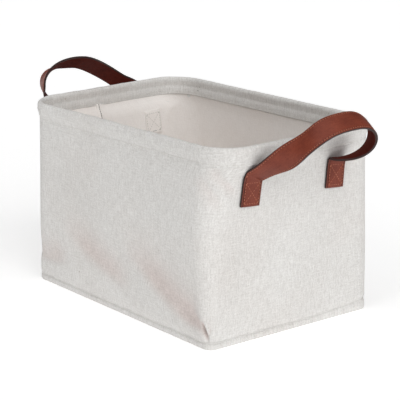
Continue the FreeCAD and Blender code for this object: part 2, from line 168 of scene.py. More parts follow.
def makeStudio():
    world = bpy.data.worlds.new("studioSky")
    world.use_nodes = True
    setValues(world.node_tree.nodes["Background"], Color=(1, 1, 1, 1), Strength=studio["sky"])
    scene.world = world
    scene.view_settings.view_transform = "Standard"
    for name in ("topSoftbox", "sideSoftbox", "frontSoftbox"):
        addSun(name, *studio[name])
    shape = bmesh.new()
    bmesh.ops.create_grid(shape, x_segments=4, y_segments=4, size=studio["floorSize"] / 2)
    mesh = bpy.data.meshes.new("floor")
    shape.to_mesh(mesh)
    shape.free()
    floor = bpy.data.objects.new("floor", mesh)
    paint = bpy.data.materials.new("floorPaint")
    paint.use_nodes = True
    setValues(paint.node_tree.nodes["Principled BSDF"], Base_Color=(*studio["floorColour"], 1), Roughness=0.9,
              Emission_Color=(1, 1, 1, 1), Emission_Strength=studio["floorGlow"])
    mesh.materials.append(paint)
    scene.collection.objects.link(floor)


makeCamera()
makeStudio()
print("camera and studio ready")


# Node helpers. A socket given as a value is linked, anything else is set.
def put(tree, kind, settings=None, **inputs):
    node = tree.nodes.new(kind)
    for name, value in (settings or {}).items():
        setattr(node, name, value)
    for name, value in inputs.items():
        socket = node.inputs[int(name[4:])] if name.startswith("slot") else node.inputs[name.replace("_", " ")]
        if isinstance(value, bpy.types.NodeSocket):
            tree.links.new(value, socket)
        else:
            socket.default_value = value
    return node


def calculate(tree, operation, first, second=0.0):
    return put(tree, "ShaderNodeMath", {"operation": operation}, slot0=first, slot1=second).outputs[0]


def plus(tree, first, second):
    return calculate(tree, "ADD", first, second)


def times(tree, first, second):
    return calculate(tree, "MULTIPLY", first, second)


def remap(tree, value, low, high, newLow=0.0, newHigh=1.0):
    node = put(tree, "ShaderNodeMapRange", {"clamp": True}, Value=value, From_Min=low, From_Max=high,
               To_Min=newLow, To_Max=newHigh)
    return node.outputs[0]


def mixColours(tree, share, first, second, kind="MIX"):
    node = put(tree, "ShaderNodeMix", {"data_type": "RGBA", "blend_type": kind})
    for index, value in ((0, share), (6, first), (7, second)):
        if isinstance(value, bpy.types.NodeSocket):
            tree.links.new(value, node.inputs[index])
        else:
            node.inputs[index].default_value = value
    return node.outputs[2]


def noiseValue(tree, vector, scale, detail=2.0, roughness=0.5):
    return put(tree, "ShaderNodeTexNoise", Vector=vector, Scale=scale, Detail=detail,
               Roughness=roughness).outputs[0]


def stretched(tree, vector, x, y, z=1.0):
    return put(tree, "ShaderNodeVectorMath", {"operation": "MULTIPLY"}, slot0=vector, slot1=(x, y, z)).outputs[0]


def newGroup(name, inputs, outputs):
    tree = bpy.data.node_groups.new(name, "ShaderNodeTree")
    for label, kind, value in inputs:
        socket = tree.interface.new_socket(name=label, in_out="INPUT", socket_type=kind)
        if value is not None:
            socket.default_value = value
    for label, kind in outputs:
        tree.interface.new_socket(name=label, in_out="OUTPUT", socket_type=kind)
    return tree, tree.nodes.new("NodeGroupInput").outputs, tree.nodes.new("NodeGroupOutput").inputs


def makeWeaveGroup():
    # plain weave of uneven threads: slubs run up the warp and, fainter, along the weft
    tree, given, made = newGroup(
        "slubWeave",
        [("Vector", "NodeSocketVector", None), ("Thread Scale", "NodeSocketFloat", 1250.0),
         ("Slub", "NodeSocketFloat", 1.0), ("Fleck", "NodeSocketFloat", 1.0),
         ("Light Thread", "NodeSocketColor", (0.8, 0.8, 0.8, 1)),
         ("Dark Thread", "NodeSocketColor", (0.6, 0.6, 0.6, 1)),
         ("Fleck Colour", "NodeSocketColor", (0.3, 0.2, 0.15, 1))],
        [("Color", "NodeSocketColor"), ("Height", "NodeSocketFloat")])
    vector = given["Vector"]
    parts = put(tree, "ShaderNodeSeparateXYZ", Vector=vector).outputs
    wander = noiseValue(tree, stretched(tree, vector, 60, 9), 1.0, 1.0)
    across = plus(tree, parts[0], times(tree, wander, 0.0016))
    turn = times(tree, given["Thread Scale"], math.pi)
    warp = calculate(tree, "SINE", times(tree, across, turn))
    weft = calculate(tree, "SINE", times(tree, parts[1], turn))
    weave = times(tree, warp, weft)
    cloud = noiseValue(tree, stretched(tree, vector, 14, 11), 1.0, 3.0)
    # fine threads, long warp slubs, weft slubs and small knots: stretch, detail and share of the whole
    thick = None
    for stretch, detail, share in (((900, 120), 1.0, 0.40), ((430, 62), 2.0, 0.40), ((95, 480), 2.0, 0.34),
                                   ((640, 560), 1.0, 0.56)):
        layer = times(tree, noiseValue(tree, stretched(tree, vector, *stretch), 1.0, detail), share)
        thick = layer if thick is None else plus(tree, thick, layer)
    uneven = times(tree, calculate(tree, "SUBTRACT", thick, 0.85), given["Slub"])
    tone = plus(tree, times(tree, uneven, 3.0), times(tree, cloud, 0.6))
    tone = remap(tree, plus(tree, tone, times(tree, weave, 0.10)), -0.45, 1.05)
    colour = mixColours(tree, tone, given["Dark Thread"], given["Light Thread"])
    # long flecks and small specks, each in a few chosen cells
    cells = put(tree, "ShaderNodeTexVoronoi", {"feature": "F1"}, Vector=stretched(tree, vector, 62, 26), Scale=1.0)
    chance = put(tree, "ShaderNodeSeparateXYZ", Vector=cells.outputs["Color"]).outputs[0]
    chosen = remap(tree, chance, 0.66, 0.70)
    spot = remap(tree, cells.outputs["Distance"], 0.022, 0.052, 1.0, 0.0)
    specks = put(tree, "ShaderNodeTexVoronoi", {"feature": "F1"}, Vector=stretched(tree, vector, 210, 120),
                 Scale=1.0)
    speckChance = put(tree, "ShaderNodeSeparateXYZ", Vector=specks.outputs["Color"]).outputs[1]
    speck = times(tree, remap(tree, specks.outputs["Distance"], 0.06, 0.12, 0.35, 0.0),
                      remap(tree, speckChance, 0.84, 0.88))
    fleck = calculate(tree, "MAXIMUM", times(tree, times(tree, spot, chosen), 0.75), speck)
    fleck = times(tree, fleck, given["Fleck"])
    colour = mixColours(tree, fleck, colour, given["Fleck Colour"])
    height = plus(tree, times(tree, weave, 0.16), uneven)
    tree.links.new(colour, made["Color"])
    tree.links.new(height, made["Height"])
    return tree


def makeGrainGroup():
    # pebbled leather grain with pores and a slow change of tone
    tree, given, made = newGroup(
        "leatherGrain",
        [("Vector", "NodeSocketVector", None), ("Grain Scale", "NodeSocketFloat", 900.0),
         ("Light", "NodeSocketColor", (0.3, 0.1, 0.06, 1)), ("Dark", "NodeSocketColor", (0.1, 0.03, 0.02, 1))],
        [("Color", "NodeSocketColor"), ("Height", "NodeSocketFloat"), ("Gloss", "NodeSocketFloat")])
    vector = given["Vector"]
    pebble = put(tree, "ShaderNodeTexVoronoi", {"feature": "SMOOTH_F1"}, Vector=vector, Scale=given["Grain Scale"],
                 Smoothness=0.35).outputs["Distance"]
    crease = noiseValue(tree, stretched(tree, vector, 1.0, 2.2), 260.0, 4.0, 0.6)
    cloud = noiseValue(tree, vector, 34.0, 3.0)
    pull = noiseValue(tree, stretched(tree, vector, 1.0, 6.0), 60.0, 2.0)
    height = calculate(tree, "SUBTRACT", times(tree, crease, 0.8), times(tree, pebble, 0.55))
    tone = plus(tree, times(tree, cloud, 0.75), times(tree, height, 0.5))
    tone = plus(tree, tone, times(tree, pull, 0.2))
    colour = mixColours(tree, remap(tree, tone, 0.25, 0.95), given["Dark"], given["Light"])
    tree.links.new(colour, made["Color"])
    tree.links.new(height, made["Height"])
    tree.links.new(remap(tree, tone, 0.2, 0.9, 0.58, 0.42), made["Gloss"])
    return tree


def makeFibreGroup():
    # short fibres lying every way, for felt, thread and board
    tree, given, made = newGroup(
        "looseFibres",
        [("Vector", "NodeSocketVector", None), ("Fibre Scale", "NodeSocketFloat", 700.0),
         ("Light", "NodeSocketColor", (0.8, 0.8, 0.8, 1)), ("Dark", "NodeSocketColor", (0.5, 0.5, 0.5, 1))],
        [("Color", "NodeSocketColor"), ("Height", "NodeSocketFloat")])
    one = noiseValue(tree, stretched(tree, given["Vector"], 1.0, 0.16, 0.3), given["Fibre Scale"], 3.0)
    two = noiseValue(tree, stretched(tree, given["Vector"], 0.16, 1.0, 0.5), given["Fibre Scale"], 3.0)
    height = times(tree, plus(tree, one, two), 0.5)
    colour = mixColours(tree, remap(tree, height, 0.35, 0.65), given["Dark"], given["Light"])
    tree.links.new(colour, made["Color"])
    tree.links.new(height, made["Height"])
    return tree


weaveGroup = makeWeaveGroup()
grainGroup = makeGrainGroup()
fibreGroup = makeFibreGroup()
finishes = {
    # Each cloth's creased colour is painted shade, multiplied in where the wall's folds sink; drift is a slow
    # random change of tone.
    "canvas": {"light": (0.845, 0.835, 0.815), "dark": (0.605, 0.585, 0.56), "fleck": (0.27, 0.19, 0.14),
               "threads": 1250.0, "slub": 1.0, "flecks": 0.9, "bump": 0.55,
               "creaseShade": (0.93, 0.85, 0.835, 1), "drift": (0.985, 0.970, 0.962, 1)},
    # the lining is pale cotton, drawn brighter still: painted light standing in for the light that shines through
    # the walls
    "lining": {"light": (0.97, 0.935, 0.905), "dark": (0.84, 0.795, 0.76), "fleck": (0.35, 0.27, 0.21),
               "threads": 1500.0, "slub": 0.7, "flecks": 0.45, "bump": 0.35,
               "creaseShade": (0.96, 0.95, 0.94, 1), "drift": (0.99, 0.975, 0.965, 1)},
    "leather": {"light": (0.305, 0.068, 0.034), "dark": (0.120, 0.020, 0.011)},
    # the groove colour is painted shade for the recess of the stitch groove
    "groove": {"light": (0.085, 0.018, 0.011), "dark": (0.035, 0.009, 0.006)},
    "backing": {"light": (0.105, 0.016, 0.009), "dark": (0.055, 0.008, 0.005)},
    "edgePaint": {"light": (0.060, 0.018, 0.013), "dark": (0.022, 0.008, 0.007)},
    "strapThread": {"light": (0.58, 0.20, 0.11), "dark": (0.28, 0.080, 0.045)},
    "canvasThread": {"light": (0.78, 0.76, 0.72), "dark": (0.56, 0.54, 0.50)},
    # grey thread: real dark stitches on the hem join and the patches, and the painted shadow line in the lining
    # join's gap
    "greyThreadAndGapShade": {"light": (0.30, 0.28, 0.26), "dark": (0.16, 0.145, 0.135)},
    "interlining": {"light": (0.86, 0.86, 0.84), "dark": (0.70, 0.70, 0.68)},
    "board": {"light": (0.58, 0.58, 0.56), "dark": (0.46, 0.46, 0.45)},
    "steel": {"light": (0.62, 0.62, 0.63), "dark": (0.42, 0.42, 0.43)},
}


def newMaterial(name):
    material = bpy.data.materials.new(name)
    material.use_nodes = True
    tree = material.node_tree
    return material, tree, tree.nodes["Principled BSDF"]


def addGroup(tree, group, **inputs):
    return put(tree, "ShaderNodeGroup", {"node_tree": group}, **inputs).outputs


def addBump(tree, shader, height, strength, distance):
    bump = put(tree, "ShaderNodeBump", Height=height, Strength=strength, Distance=distance)
    tree.links.new(bump.outputs[0], shader.inputs["Normal"])


def clothMaterial(name, finish):
    material, tree, shader = newMaterial(name)
    chart = put(tree, "ShaderNodeUVMap", {"uv_map": "UVMap"}).outputs[0]
    weave = addGroup(tree, weaveGroup, Vector=chart, Thread_Scale=finish["threads"], Slub=finish["slub"],
                     Fleck=finish["flecks"], Light_Thread=(*finish["light"], 1), Dark_Thread=(*finish["dark"], 1),
                     Fleck_Colour=(*finish["fleck"], 1))
    # painted shade: the crease attribute darkens and warms the cloth where the folds sink in
    crease = put(tree, "ShaderNodeAttribute", {"attribute_name": "crease"}).outputs["Fac"]
    shaded = mixColours(tree, crease, weave["Color"], finish["creaseShade"], "MULTIPLY")
    drift = remap(tree, noiseValue(tree, chart, 6.5, 2.0), 0.46, 0.72)
    tree.links.new(mixColours(tree, drift, shaded, finish["drift"], "MULTIPLY"), shader.inputs["Base Color"])
    addBump(tree, shader, weave["Height"], finish["bump"], 0.0006)
    setValues(shader, Roughness=0.92, Specular_IOR_Level=0.18, Sheen_Weight=0.12, Sheen_Roughness=0.6)
    return material


def leatherMaterial(name, finish, roughness, scale, bump, specular):
    material, tree, shader = newMaterial(name)
    chart = put(tree, "ShaderNodeUVMap", {"uv_map": "UVMap"}).outputs[0]
    grain = addGroup(tree, grainGroup, Vector=chart, Grain_Scale=scale, Light=(*finish["light"], 1),
                     Dark=(*finish["dark"], 1))
    tree.links.new(grain["Color"], shader.inputs["Base Color"])
    tree.links.new(plus(tree, grain["Gloss"], roughness - 0.5), shader.inputs["Roughness"])
    addBump(tree, shader, grain["Height"], bump, 0.0004)
    setValues(shader, Specular_IOR_Level=specular)
    return material


def fibreMaterial(name, finish, scale, roughness, metallic=0.0, stretch=(1.0, 1.0, 1.0)):
    material, tree, shader = newMaterial(name)
    place = stretched(tree, put(tree, "ShaderNodeTexCoord").outputs["Object"], *stretch)
    fibre = addGroup(tree, fibreGroup, Vector=place, Fibre_Scale=scale, Light=(*finish["light"], 1),
                     Dark=(*finish["dark"], 1))
    tree.links.new(fibre["Color"], shader.inputs["Base Color"])
    addBump(tree, shader, fibre["Height"], 0.4, 0.0003)
    setValues(shader, Roughness=roughness, Metallic=metallic)
    return material


canvas = clothMaterial("slubCanvas", finishes["canvas"])
# pale cotton lining, brightened with painted light for the light that comes through the walls
lining = clothMaterial("cottonLiningPaintedLight", finishes["lining"])
leather = leatherMaterial("chestnutStrap", finishes["leather"], 0.44, 1300.0, 0.35, 0.26)
backing = leatherMaterial("strapUnderside", finishes["backing"], 0.85, 700.0, 0.6, 0.06)
# leather darkened with painted shade, for the stitch groove
stitchGrooveShade = leatherMaterial("stitchGrooveShade", finishes["groove"], 0.6, 1300.0, 0.35, 0.25)
edgePaint = leatherMaterial("paintedEdge", finishes["edgePaint"], 0.5, 2000.0, 0.2, 0.4)
strapThread = fibreMaterial("strapThread", finishes["strapThread"], 1800.0, 0.6)
canvasThread = fibreMaterial("canvasThread", finishes["canvasThread"], 1800.0, 0.85)
greyThreadAndGapShade = fibreMaterial("greyThreadAndGapShade", finishes["greyThreadAndGapShade"], 1800.0, 0.85)
felt = fibreMaterial("needledFelt", finishes["interlining"], 900.0, 0.95)
boardSheet = fibreMaterial("stiffeningBoard", finishes["board"], 500.0, 0.6)
springSteel = fibreMaterial("springSteel", finishes["steel"], 2600.0, 0.32, 1.0, (0.2, 0.2, 1.0))
print("materials ready")


def clothSheet(columns, rows, place, flat, inked=None, crease=None):
    # a grid is moved into place column by column; its UV map keeps the flat cloth in metres
    shape = bmesh.new()
    # the crease layer holds, for each point, how much painted shade its fold gets
    creaseShade = shape.verts.layers.float.new("crease") if crease else None
    chart = shape.loops.layers.uv.new("UVMap")
    bmesh.ops.create_grid(shape, x_segments=columns, y_segments=rows, size=1)
    spots = {}
    for vert in shape.verts:
        spots[vert] = (round((vert.co.x + 1) / 2 * columns), round((vert.co.y + 1) / 2 * rows))
    for face in shape.faces:
        for corner in face.loops:
            corner[chart].uv = flat(*spots[corner.vert])
        if inked:
            face.material_index = inked.get(min(spots[vert][0] for vert in face.verts), 0)
    for vert, spot in spots.items():
        vert.co = place(*spot)
        if crease:
            vert[creaseShade] = crease(*spot)
    bmesh.ops.remove_doubles(shape, verts=shape.verts, dist=1e-6)
    return shape


def newPiece(name, shape, slot, *materials):
    mesh = bpy.data.meshes.new(name)
    shape.to_mesh(mesh)
    shape.free()
    mesh.shade_smooth()
    for material in materials:
        mesh.materials.append(material)
    piece = bpy.data.objects.new(name, mesh)
    scene.collection.objects.link(piece)
    return piece


def thicken(piece, thickness):
    layer = piece.modifiers.new("cloth", "SOLIDIFY")
    layer.thickness = thickness
    layer.offset = -1
    layer.use_even_offset = False


# Outline of the bin. Columns run from the middle of the back wall, round the left end to the front.
sideColumns = (34, 14, 54, 14, 92, 34, 70, 16, 34)
places = [(side, step / count) for side, count in enumerate(sideColumns) for step in range(count)] + [(8, 1.0)]
columnTotal = len(places) - 1


def outlinePoint(place, length, width, corner, twist):
    side, share = place
    runX = length / 2 - corner
    runY = width / 2 - corner
    if side % 2:
        index = side // 2
        angle = math.radians(90 + 90 * (index + share))
        normal = Vector((math.cos(angle), math.sin(angle), 0))
        centre = Vector((runX if index > 1 else -runX, runY if index in (0, 3) else -runY, 0))
        point = centre + normal * corner
    elif side in (0, 8):
        point = Vector((-runX * share if side == 0 else runX * (1 - share), width / 2, 0))
        normal = Vector((0, 1, 0))
    elif side == 4:
        point = Vector((-runX + 2 * runX * share, -width / 2, 0))
        normal = Vector((0, -1, 0))
    else:
        sign = 1 if side == 6 else -1
        point = Vector((sign * length / 2, sign * (-runY + 2 * runY * share), 0))
        normal = Vector((sign, 0, 0))
    turn = Matrix.Rotation(math.radians(twist), 3, "Z")
    return turn @ point, turn @ normal


wallShape = {
    # height, length, width, corner radius, twist in degrees
    "levels": (
        (0.0070, 0.3576, 0.2531, 0.012, 0.0), (0.0100, 0.3592, 0.2550, 0.013, 0.0),
        (0.0160, 0.3604, 0.2585, 0.015, 0.0), (0.0340, 0.3610, 0.2620, 0.020, 0.0),
        (0.1400, 0.3610, 0.2650, 0.028, 0.2), (0.2045, 0.3652, 0.2610, 0.034, 2.0),
        (0.2174, 0.3794, 0.2560, 0.0415, 2.60), (0.2240, 0.3788, 0.2553, 0.0415, 2.66)),
    "ease": 0.005, "canvas": 0.0008, "interlining": 0.0014, "lining": 0.0006, "gap": 0.0001,
    "seamHeight": 0.0086, "seamRise": 0.0046, "top": 0.2225,
    "broad": 0.0010, "streak": 0.0005, "hemPucker": 0.00080, "seamPucker": 0.00045,
    # creaseDepth is how deep a fold sinks before its painted shade is full
    "creaseDepth": 0.0042, "foldRoom": 0.25, "closeRow": 0.0014, "wideRow": 0.0031, "closeBand": 0.034,
    # the corner where the seam is drawn in: how far along the end wall, how deep
    "notchAt": 0.122, "notchDepth": 0.0020,
}
waistLength, waistWidth, waistCorner = wallShape["levels"][4][1:4]
straightX = waistLength - 2 * waistCorner
straightY = waistWidth - 2 * waistCorner
cornerRun = waistCorner * math.pi / 2
sideLengths = (straightX / 2, cornerRun, straightY, cornerRun, straightX,
               cornerRun, straightY, cornerRun, straightX / 2)
sideStarts = [sum(sideLengths[:index]) for index in range(9)]
perimeter = sum(sideLengths)


def runAt(place):
    return sideStarts[place[0]] + sideLengths[place[0]] * place[1]


def faceRun(face, along):
    # how far round the bin a point is: along is X on the front and back, Y on the two ends
    if face == "front":
        return sideStarts[4] + straightX / 2 + along
    if face == "right":
        return sideStarts[6] + straightY / 2 + along
    if face == "left":
        return sideStarts[2] + straightY / 2 - along
    return -along if along < 0 else perimeter - along


levelCache = {}


def wallLevel(height):
    key = round(height, 6)
    if key not in levelCache:
        total = [0.0] * 4
        steps = (-1.0, -0.5, 0.0, 0.5, 1.0)
        for step in steps:
            probe = height + step * wallShape["ease"] * ramp(height, 0.006, 0.03)
            levels = wallShape["levels"]
            low, high = levels[0], levels[1]
            for index in range(len(levels) - 1):
                if probe >= levels[index][0]:
                    low, high = levels[index], levels[index + 1]
            share = min(max((probe - low[0]) / (high[0] - low[0]), 0.0), 1.0)
            total = [a + b / len(steps) for a, b in zip(total, blendValues(low[1:], high[1:], share))]
        levelCache[key] = total
    return levelCache[key]


# Folds: the wall, how wide the fold is to its left and right, how far it stands out or sinks in,
# how much of each end fades, and its line over the cloth as (along, height).
folds = (
    ("front", 0.022, 0.006, -0.0026, (0.3, 0.4),
     ((-0.178, 0.040), (-0.145, 0.036), (-0.105, 0.040))),
    ("front", 0.026, 0.009, -0.0036, (0.4, 0.3),
     ((-0.098, 0.086), (-0.060, 0.067), (-0.018, 0.052), (0.020, 0.042))),
    ("front", 0.030, 0.009, -0.0046, (0.45, 0.15),
     ((0.030, 0.086), (0.075, 0.060), (0.120, 0.038), (0.150, 0.027))),
    ("front", 0.011, 0.005, -0.0036, (0.3, 0.05),
     ((0.120, 0.038), (0.148, 0.0285), (0.166, 0.0215), (0.176, 0.015))),
    ("front", 0.016, 0.010, -0.0008, (0.4, 0.4),
     ((-0.140, 0.060), (-0.120, 0.048), (-0.100, 0.050))),
    ("right", 0.0040, 0.0070, -0.0020, (0.25, 0.4),
     ((-0.136, 0.216), (-0.118, 0.202), (-0.100, 0.184))),
    ("right", 0.0055, 0.0040, 0.0013, (0.3, 0.4),
     ((-0.130, 0.212), (-0.108, 0.199), (-0.092, 0.187))),
    ("right", 0.0055, 0.0080, -0.0015, (0.35, 0.45),
     ((-0.146, 0.205), (-0.132, 0.188), (-0.118, 0.170))),
    ("right", 0.0060, 0.0035, 0.0010, (0.4, 0.1),
     ((0.045, 0.014), (0.085, 0.019), (0.112, 0.022))),
    ("left", 0.020, 0.010, -0.0020, (0.3, 0.4),
     ((0.120, 0.060), (0.060, 0.036), (0.010, 0.030))),
    ("left", 0.022, 0.010, -0.0018, (0.4, 0.2),
     ((-0.020, 0.070), (-0.070, 0.046), (-0.120, 0.030))),
    ("back", 0.022, 0.010, -0.0022, (0.2, 0.4),
     ((0.150, 0.034), (0.090, 0.050), (0.030, 0.074))),
    ("back", 0.024, 0.010, -0.0020, (0.4, 0.2),
     ((-0.030, 0.080), (-0.090, 0.050), (-0.150, 0.036))),
    ("left", 0.0040, 0.0060, -0.0009, (0.3, 0.4),
     ((0.118, 0.208), (0.104, 0.192), (0.094, 0.180))),
)
# The small pleat at the foot of the near corner, tucked over the base seam.
pleat = {"run": faceRun("front", 0.172), "height": 0.024, "length": 0.013, "lean": 0.45,
         "ridge": 0.0040, "ridgeWidth": 0.0034, "hollow": 0.0048, "hollowWidth": 0.0050, "offset": 0.0060}


def flattenFolds():
    flat = []
    for face, left, right, depth, fade, line in folds:
        points = [(faceRun(face, along), height) for along, height in line]
        steps = [math.dist(first, last) for first, last in zip(points, points[1:])]
        reach = 2.6 * max(left, right)
        runs, heights = zip(*points)
        bounds = (min(runs) - reach, max(runs) + reach, min(heights) - reach, max(heights) + reach)
        flat.append(((left, right, depth, fade), points, steps, bounds))
    return flat


flatFolds = flattenFolds()


def foldHeight(run, height):
    total = 0.0
    for (left, right, depth, (start, end)), points, steps, bounds in flatFolds:
        if not (bounds[0] < run < bounds[1] and bounds[2] < height < bounds[3]):
            continue
        nearest = None
        before = 0.0
        for first, last, length in zip(points, points[1:], steps):
            stepRun, stepUp = (last[0] - first[0]) / length, (last[1] - first[1]) / length
            along = (run - first[0]) * stepRun + (height - first[1]) * stepUp
            offset = (height - first[1]) * stepRun - (run - first[0]) * stepUp
            past = along - min(max(along, 0.0), length)
            distance = math.hypot(past, offset)
            if nearest is None or distance < nearest[0]:
                nearest = (distance, offset, (before + along) / sum(steps))
            before += length
        distance, offset, share = nearest
        fade = ramp(share, -0.5 * start, start) * ramp(1 - share, -0.5 * end, end)
        total += depth * fade * bell(distance, left if offset > 0 else right)
    return total


def pleatHeight(run, height):
    up = (height - pleat["height"]) / pleat["length"]
    if abs(up) > 1:
        return 0.0
    across = run - pleat["run"] - pleat["lean"] * (pleat["height"] - height)
    fade = (1 - up * up) ** 2
    ridge = pleat["ridge"] * bell(across, pleat["ridgeWidth"])
    return fade * (ridge - pleat["hollow"] * bell(across + pleat["offset"], pleat["hollowWidth"]))


tabShape = {
    "width": 0.029, "height": 0.032, "centre": 0.1833, "clearance": 0.00045,
    "patchWidth": 0.026, "patchHeight": 0.034, "patchThickness": 0.0008, "patchPuff": 0.0005,
    "boxInset": 0.0036,
}
# where the front and rear tab sit along each end wall, before the left end's half turn
tabAlong = {"right": (-0.075, 0.059), "left": (-0.0685, 0.0625)}
tabRuns = [faceRun("right", along) for along in tabAlong["right"]]
tabRuns += [faceRun("left", -along) for along in tabAlong["left"]]


def tabCalm(run, height):
    # the cloth lies flat under the sewn ends, and its relief comes back beside them
    calm = 1.0
    for tabRun in tabRuns:
        beside = max(abs(run - tabRun) - tabShape["width"] / 2 - 0.003, 0.0)
        above = max(abs(height - tabShape["centre"]) - tabShape["height"] / 2 - 0.004, 0.0)
        calm = min(calm, smooth(math.hypot(beside, above) / 0.012))
    return calm


def seamHeight(run):
    # the base seam climbs towards the back right corner
    climb = ramp(run, faceRun("right", 0.0), faceRun("right", 0.105))
    climb *= 1 - ramp(run, perimeter - 0.15, perimeter - 0.06)
    drift = 0.0006 * wobble(run * 21, 3.1, 0)
    return wallShape["seamHeight"] + wallShape["seamRise"] * climb + drift


def wallRelief(run, height, point):
    spot = Vector((point.x, point.y, height))
    foot = wallShape["seamHeight"]
    settled = ramp(height, foot, 0.05) * (1 - ramp(height, 0.205, 0.2215))
    relief = wallShape["broad"] * noise.noise(spot * 9.0) * settled
    relief += wallShape["streak"] * wobble(point.x * 27, point.y * 27, height * 8 + 5) * settled
    relief += foldHeight(run, height)
    relief *= tabCalm(run, height)
    pinch = bell(height - hemFoot, 0.008) * (1 - ramp(height, 0.2175, 0.2215))
    relief += wallShape["hemPucker"] * pinch * wobble(point.x * 95, point.y * 95, height * 30)
    low = math.exp(-max(height - foot, 0.0) / 0.010)
    relief += wallShape["seamPucker"] * low * wobble(point.x * 70, point.y * 70, height * 25)
    # the cloth is drawn in at the back right corner of the seam
    notch = bell(run - faceRun("right", wallShape["notchAt"]), 0.022) * bell(height - seamHeight(run), 0.0030)
    relief -= wallShape["notchDepth"] * notch
    return relief + pleatHeight(run, height)


def wallHeights(low, high):
    heights = [low]
    while heights[-1] < high - 0.0004:
        near = min(abs(heights[-1] - low), abs(high - heights[-1]))
        step = wallShape["closeRow"] if near < wallShape["closeBand"] else wallShape["wideRow"]
        heights.append(min(heights[-1] + step, high))
    return heights


def sinkWithRim(piece):
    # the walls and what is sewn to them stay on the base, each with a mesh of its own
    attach(piece, "root")
    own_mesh(piece)


def makeWallLayer(name, inset, thickness, low, high, slot, material, node, coarse=1):
    rows = wallHeights(low, high)[::coarse]
    if rows[-1] < high:
        rows.append(high)
    spots = places[::coarse]
    if spots[-1] != places[-1]:
        spots.append(places[-1])
    lifts = [seamHeight(runAt(place)) - wallShape["seamHeight"] for place in spots]

    def rowHeight(column, row):
        return rows[row] + lifts[column] * (1 - ramp(rows[row], low, 0.045))

    def placePoint(column, row):
        height = rowHeight(column, row)
        point, normal = outlinePoint(spots[column], *wallLevel(height))
        run = runAt(spots[column])
        out = wallRelief(run, height, point) - inset
        if inset:
            out -= wallShape["foldRoom"] * abs(foldHeight(run, height) + pleatHeight(run, height))
        return pushedOut(point, normal, out, height)

    # painted shade: how far each point sinks into a fold, as a share of creaseDepth, for the cloth's colour
    def paintedCreaseShade(column, row):
        run, height = runAt(spots[column]), rowHeight(column, row)
        return min(max(-(foldHeight(run, height) + pleatHeight(run, height)) / wallShape["creaseDepth"], 0.0), 1.0)

    shape = clothSheet(len(spots) - 1, len(rows) - 1, placePoint,
                       lambda column, row: (runAt(spots[column]), rowHeight(column, row)), None, paintedCreaseShade)
    piece = newPiece(name, shape, slot, material)
    thicken(piece, thickness)
    sinkWithRim(piece)
    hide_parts(node)


layerDepth = wallShape["canvas"] + wallShape["gap"]
feltDepth = layerDepth + wallShape["interlining"] + wallShape["gap"]
makeWallLayer("outerWall", 0.0, wallShape["canvas"], 0.0078, wallShape["top"], "canvas", canvas,
              "outer_wall_canvas")
makeWallLayer("wallFelt", layerDepth, wallShape["interlining"], 0.0090, 0.2205, "interlining", felt,
              "wall_interlining", 3)
makeWallLayer("wallLining", feltDepth, wallShape["lining"], 0.0054, 0.2215, "lining", lining, "wall_lining")
print("wall layers made")


# Hem: one strip folded over the wire, from its outer edge over the bead to its inner edge.
hemShape = {
    "length": 0.377, "width": 0.2535, "corner": 0.041, "twist": 2.66, "cloth": 0.0008,
    "bead": 0.0046, "beadWidth": 0.0038, "beadSteps": 12, "outerFoot": 0.0014, "innerFoot": -0.0031,
    # the strip above its two feet, as (out, height)
    "outerSide": ((0.0, 0.0), (0.0001, 0.0016), (0.0002, 0.0030), (0.0006, 0.0055), (0.0013, 0.0085),
                  (0.0021, 0.0115), (0.0029, 0.0142)),
    "innerSide": ((-0.0033, -0.0027), (-0.0030, -0.0044), (-0.0026, -0.0060), (-0.0024, -0.0074),
                  (-0.0027, -0.0086), (-0.0031, -0.0098), (-0.0033, -0.0114), (-0.0034, -0.0134),
                  (-0.0035, -0.0152), (-0.0034, -0.0166), (-0.0034, -0.0178)),
    "pucker": 0.00050, "drag": 0.00060, "knot": 0.00050, "broad": 0.00045, "sag": 0.0007, "groove": 0.00045,
    "stitchRise": 0.0026, "stitchLength": 0.0025, "stitchPitch": 0.0035, "stitchSlant": 0.08, "thread": 0.00032,
    "joinAt": 0.972, "joinLean": 0.050, "joinStitches": 9, "joinRow": 11,
    "joinLength": 0.0020, "joinThread": 0.00040,
}


def hemProfile():
    # (out from the wire, height) along the strip
    outer = hemShape["outerFoot"]
    points = [(outer + out, hemFoot + rise) for out, rise in hemShape["outerSide"]]
    for step in range(hemShape["beadSteps"] + 1):
        angle = math.radians(-22 + 214 * step / hemShape["beadSteps"])
        points.append((hemShape["beadWidth"] * math.cos(angle), wireHeight + hemShape["bead"] * math.sin(angle)))
    points += [(out, wireHeight + drop) for out, drop in hemShape["innerSide"]]
    return points + [(hemShape["innerFoot"], hemFoot)]


profile = hemProfile()
profileRuns = runsAlong(profile)


def hemOutline(place):
    return outlinePoint(place, hemShape["length"], hemShape["width"], hemShape["corner"], hemShape["twist"])


